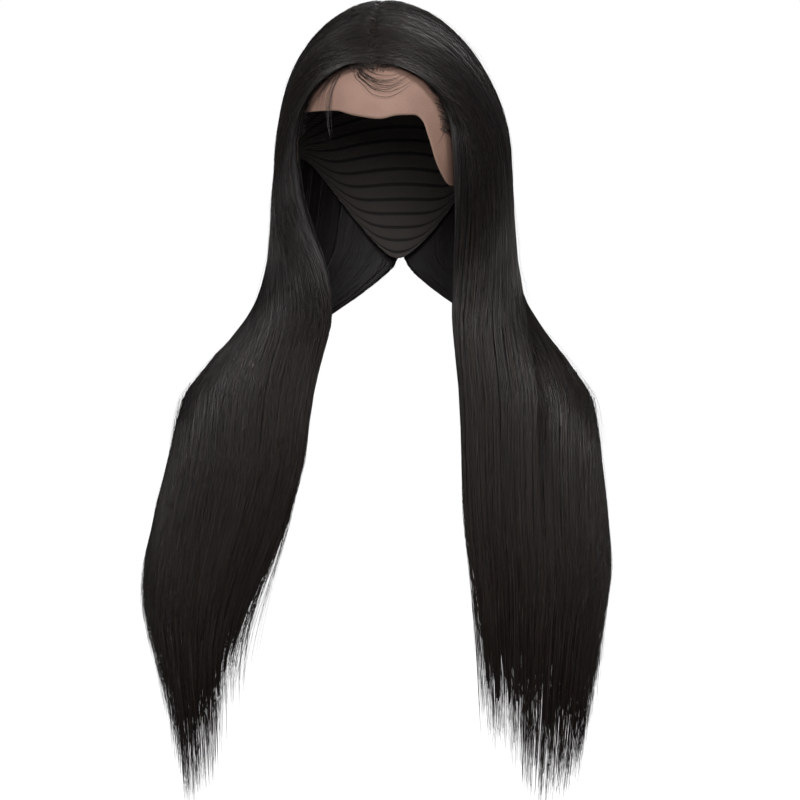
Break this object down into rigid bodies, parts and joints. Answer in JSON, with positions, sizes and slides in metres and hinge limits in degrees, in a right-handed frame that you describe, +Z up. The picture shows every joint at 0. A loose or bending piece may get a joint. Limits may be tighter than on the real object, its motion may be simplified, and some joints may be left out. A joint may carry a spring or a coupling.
{
  "type": "lace front wig",
  "caption": "Lace front wig of long straight black hair with a middle parting, worn forward over both shoulders, on a net cap with a fine lace front.",
  "frame": {"origin": "where the crown of the head touches the inside of the cap", "axes": "+Z up, the face looks along -Y, +X towards the right of someone who looks at the face"},
  "size_m": [0.3585, 0.225, 0.6157],
  "materials": {
    "hair": "glossy straight hair, nearly black",
    "cap_net": "dark elastic net with rows of weft",
    "lace": "fine sheer skin-coloured lace"
  },
  "bodies": {
    "root": {"cap": "cap_net", "lace_front": "lace", "front_hair_left": "hair", "side_hair_left": "hair", "back_hair_left": "hair", "front_hair_right": "hair", "side_hair_right": "hair", "back_hair_right": "hair"}
  },
  "joints": []
}
